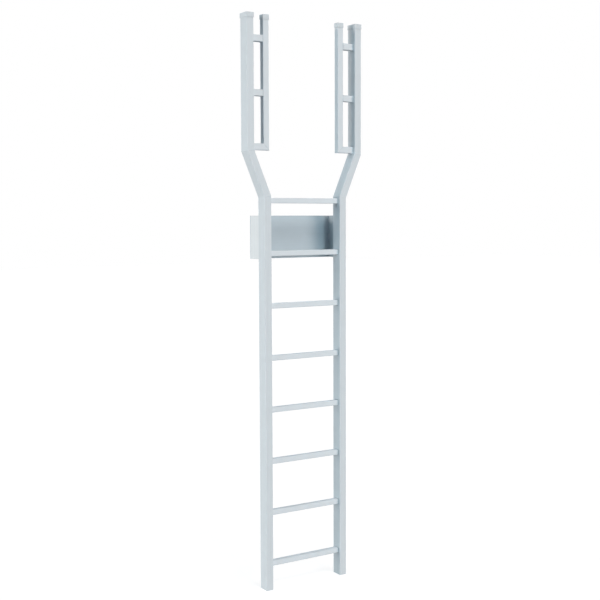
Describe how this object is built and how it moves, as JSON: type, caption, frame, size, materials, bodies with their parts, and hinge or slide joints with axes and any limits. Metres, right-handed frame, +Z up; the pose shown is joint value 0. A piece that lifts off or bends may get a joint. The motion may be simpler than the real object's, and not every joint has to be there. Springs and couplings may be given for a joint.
{
  "type": "access ladder",
  "caption": "Fixed access ladder of box-section tube with a flared walk-through top, inner grab rails, end caps and a platform-edge bracket.",
  "frame": {"origin": "on the floor, midway across the ladder and midway between its foremost face and the back of the platform bracket", "axes": "+Z up along the stiles, +Y from the climbing side towards the platform, +X to the right of a person facing the rungs"},
  "size_m": [0.7774, 0.1748, 3.2836],
  "materials": {
    "tube_aluminium": "satin mill finish, extruded",
    "rung_aluminium": "satin, extruded with a ribbed tread",
    "plate_aluminium": "satin rolled plate",
    "cap_plastic": "fine moulded matt",
    "foot_plastic": "moulded matt black"
  },
  "bodies": {
    "root": {"bracket_plate": "plate_aluminium", "rung_1": "rung_aluminium", "rung_2": "rung_aluminium", "rung_3": "rung_aluminium", "rung_4": "rung_aluminium", "rung_5": "rung_aluminium", "rung_6": "rung_aluminium", "rung_7": "rung_aluminium", "rung_8": "rung_aluminium", "left_stile": "tube_aluminium", "left_foot_plug": "foot_plastic", "left_flare": "tube_aluminium", "left_post": "tube_aluminium", "left_post_cap": "cap_plastic", "left_grab_rail": "tube_aluminium", "left_rail_cap": "cap_plastic", "left_bracket_cheek": "plate_aluminium", "left_lower_spacer": "tube_aluminium", "left_middle_spacer": "tube_aluminium", "left_upper_spacer": "tube_aluminium", "right_stile": "tube_aluminium", "right_foot_plug": "foot_plastic", "right_flare": "tube_aluminium", "right_post": "tube_aluminium", "right_post_cap": "cap_plastic", "right_grab_rail": "tube_aluminium", "right_rail_cap": "cap_plastic", "right_bracket_cheek": "plate_aluminium", "right_lower_spacer": "tube_aluminium", "right_middle_spacer": "tube_aluminium", "right_upper_spacer": "tube_aluminium"}
  },
  "joints": []
}
